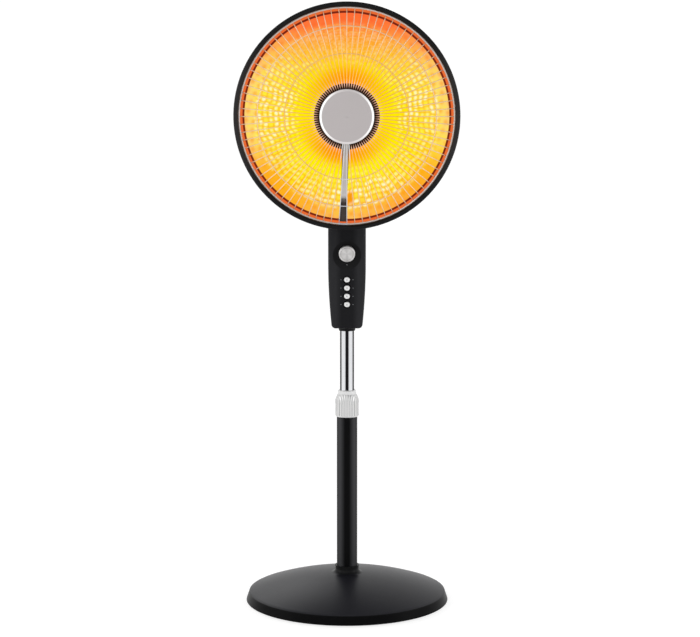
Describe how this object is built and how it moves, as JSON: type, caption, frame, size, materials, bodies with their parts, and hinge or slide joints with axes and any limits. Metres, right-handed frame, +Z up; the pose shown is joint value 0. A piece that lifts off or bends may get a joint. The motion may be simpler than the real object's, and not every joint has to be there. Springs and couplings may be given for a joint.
{
  "type": "freestanding heater",
  "caption": "Freestanding dish heater: wire-guarded parabolic reflector on a tilting, swinging turret above a control box, telescopic pole and round weighted base.",
  "frame": {"origin": "on the floor, on the pole's axis, below the middle of the base", "axes": "+X to the right seen from the front, -Y towards the front, +Z up"},
  "size_m": [0.3639, 0.342, 1],
  "materials": {
    "black_plastic": "satin moulded black",
    "black_enamel": "satin black paint",
    "cast_weight": "rough cast",
    "floor_plate": "black paint",
    "rubber_feet": "soft matt",
    "zinc_steel": "zinc plated",
    "chrome_tube": "bright plated",
    "collar_plastic": "milky ribbed plastic",
    "silver_plastic": "silver coated",
    "spun_metal": "spun finish",
    "inner_plastic": "unpainted inner part",
    "white_plastic": "natural plastic",
    "mirror_dish": "polished, lit warm by the element",
    "dish_back": "satin dark paint",
    "bright_wire": "plated wire",
    "element_steel": "heat stained",
    "strut_silver": "plain",
    "ceramic_body": "matt",
    "glow_wire": "glowing",
    "lead_sleeve": "woven sleeve"
  },
  "bodies": {
    "stand": {"base_cover": "black_plastic", "base_weight": "cast_weight", "base_plate": "floor_plate", "base_feet": "rubber_feet", "base_screws": "zinc_steel", "pole": "black_enamel", "pole_plug": "zinc_steel", "pole_washer": "zinc_steel", "pole_bolt": "zinc_steel", "pole_bush": "inner_plastic"},
    "lock_collar": {"lock_collar": "collar_plastic"},
    "mast": {"inner_tube": "chrome_tube", "tube_glide": "inner_plastic", "neck_bush": "black_plastic", "control_front": "black_plastic", "control_rear": "black_plastic", "control_screws": "zinc_steel", "timer": "white_plastic", "button_switch": "white_plastic", "tip_switch": "white_plastic", "cord_gland": "black_plastic", "swing_motor": "zinc_steel", "swivel_bearing": "white_plastic"},
    "timer_knob": {"timer_knob": "spun_metal", "timer_shaft": "zinc_steel"},
    "push_button_1": {"push_button_1": "silver_plastic"},
    "push_button_2": {"push_button_2": "silver_plastic"},
    "push_button_3": {"push_button_3": "silver_plastic"},
    "push_button_4": {"push_button_4": "silver_plastic"},
    "crank": {"swing_crank": "white_plastic"},
    "swivel": {"swivel_turret": "black_plastic", "swing_arm": "zinc_steel", "tilt_bolt": "zinc_steel", "tilt_washers": "zinc_steel"},
    "tilt_knob": {"tilt_knob": "black_plastic"},
    "head": {"head_bracket": "black_enamel", "bracket_rivets": "zinc_steel", "rear_cover": "black_plastic", "thermal_cutout": "zinc_steel", "terminal_block": "white_plastic", "rear_shell": "dish_back", "reflector": "mirror_dish", "trim_ring": "black_plastic", "guard": "bright_wire", "guard_cap": "spun_metal", "cap_backplate": "zinc_steel", "cap_screw": "zinc_steel", "element_strut": "strut_silver", "strut_cover": "strut_silver", "element_shield": "element_steel", "ceramic_core": "ceramic_body", "heating_coil": "glow_wire", "element_bolt": "zinc_steel", "element_leads": "lead_sleeve"}
  },
  "joints": [
    {"name": "height_slide", "type": "slide", "parent": "stand", "child": "mast", "axis": [0, 0, 1], "range_m": [-0.09, 0.13]},
    {"name": "collar_turn", "type": "hinge", "parent": "stand", "child": "lock_collar", "pos_m": [0, 0, 0.34], "axis": [0, 0, 1], "range_deg": [0, 180]},
    {"name": "swing", "type": "hinge", "parent": "mast", "child": "swivel", "pos_m": [0, 0, 0.67], "axis": [0, 0, 1], "range_deg": [-30, 30]},
    {"name": "crank_turn", "type": "hinge", "parent": "mast", "child": "crank", "pos_m": [0, 0.013, 0.65], "axis": [0, 0, 1], "range_deg": [-90, 90]},
    {"name": "head_tilt", "type": "hinge", "parent": "swivel", "child": "head", "pos_m": [0, 0, 0.742], "axis": [1, 0, 0], "range_deg": [-20, 10]},
    {"name": "tilt_knob_turn", "type": "hinge", "parent": "swivel", "child": "tilt_knob", "pos_m": [0.03, 0, 0.742], "axis": [1, 0, 0], "range_deg": [0, 180]},
    {"name": "timer_turn", "type": "hinge", "parent": "mast", "child": "timer_knob", "pos_m": [0, -0.035, 0.5925], "axis": [0, 1, 0], "range_deg": [0, 300]},
    {"name": "button_1_press", "type": "slide", "parent": "mast", "child": "push_button_1", "axis": [0, 1, 0], "range_m": [0, 0.004], "stiffness_N_per_m": 300},
    {"name": "button_2_press", "type": "slide", "parent": "mast", "child": "push_button_2", "axis": [0, 1, 0], "range_m": [0, 0.004], "stiffness_N_per_m": 300},
    {"name": "button_3_press", "type": "slide", "parent": "mast", "child": "push_button_3", "axis": [0, 1, 0], "range_m": [0, 0.004], "stiffness_N_per_m": 300},
    {"name": "button_4_press", "type": "slide", "parent": "mast", "child": "push_button_4", "axis": [0, 1, 0], "range_m": [0, 0.004], "stiffness_N_per_m": 300}
  ],
  "couplings": [
    {"joint": "crank_turn", "follows": "swing", "ratio": 3}
  ]
}
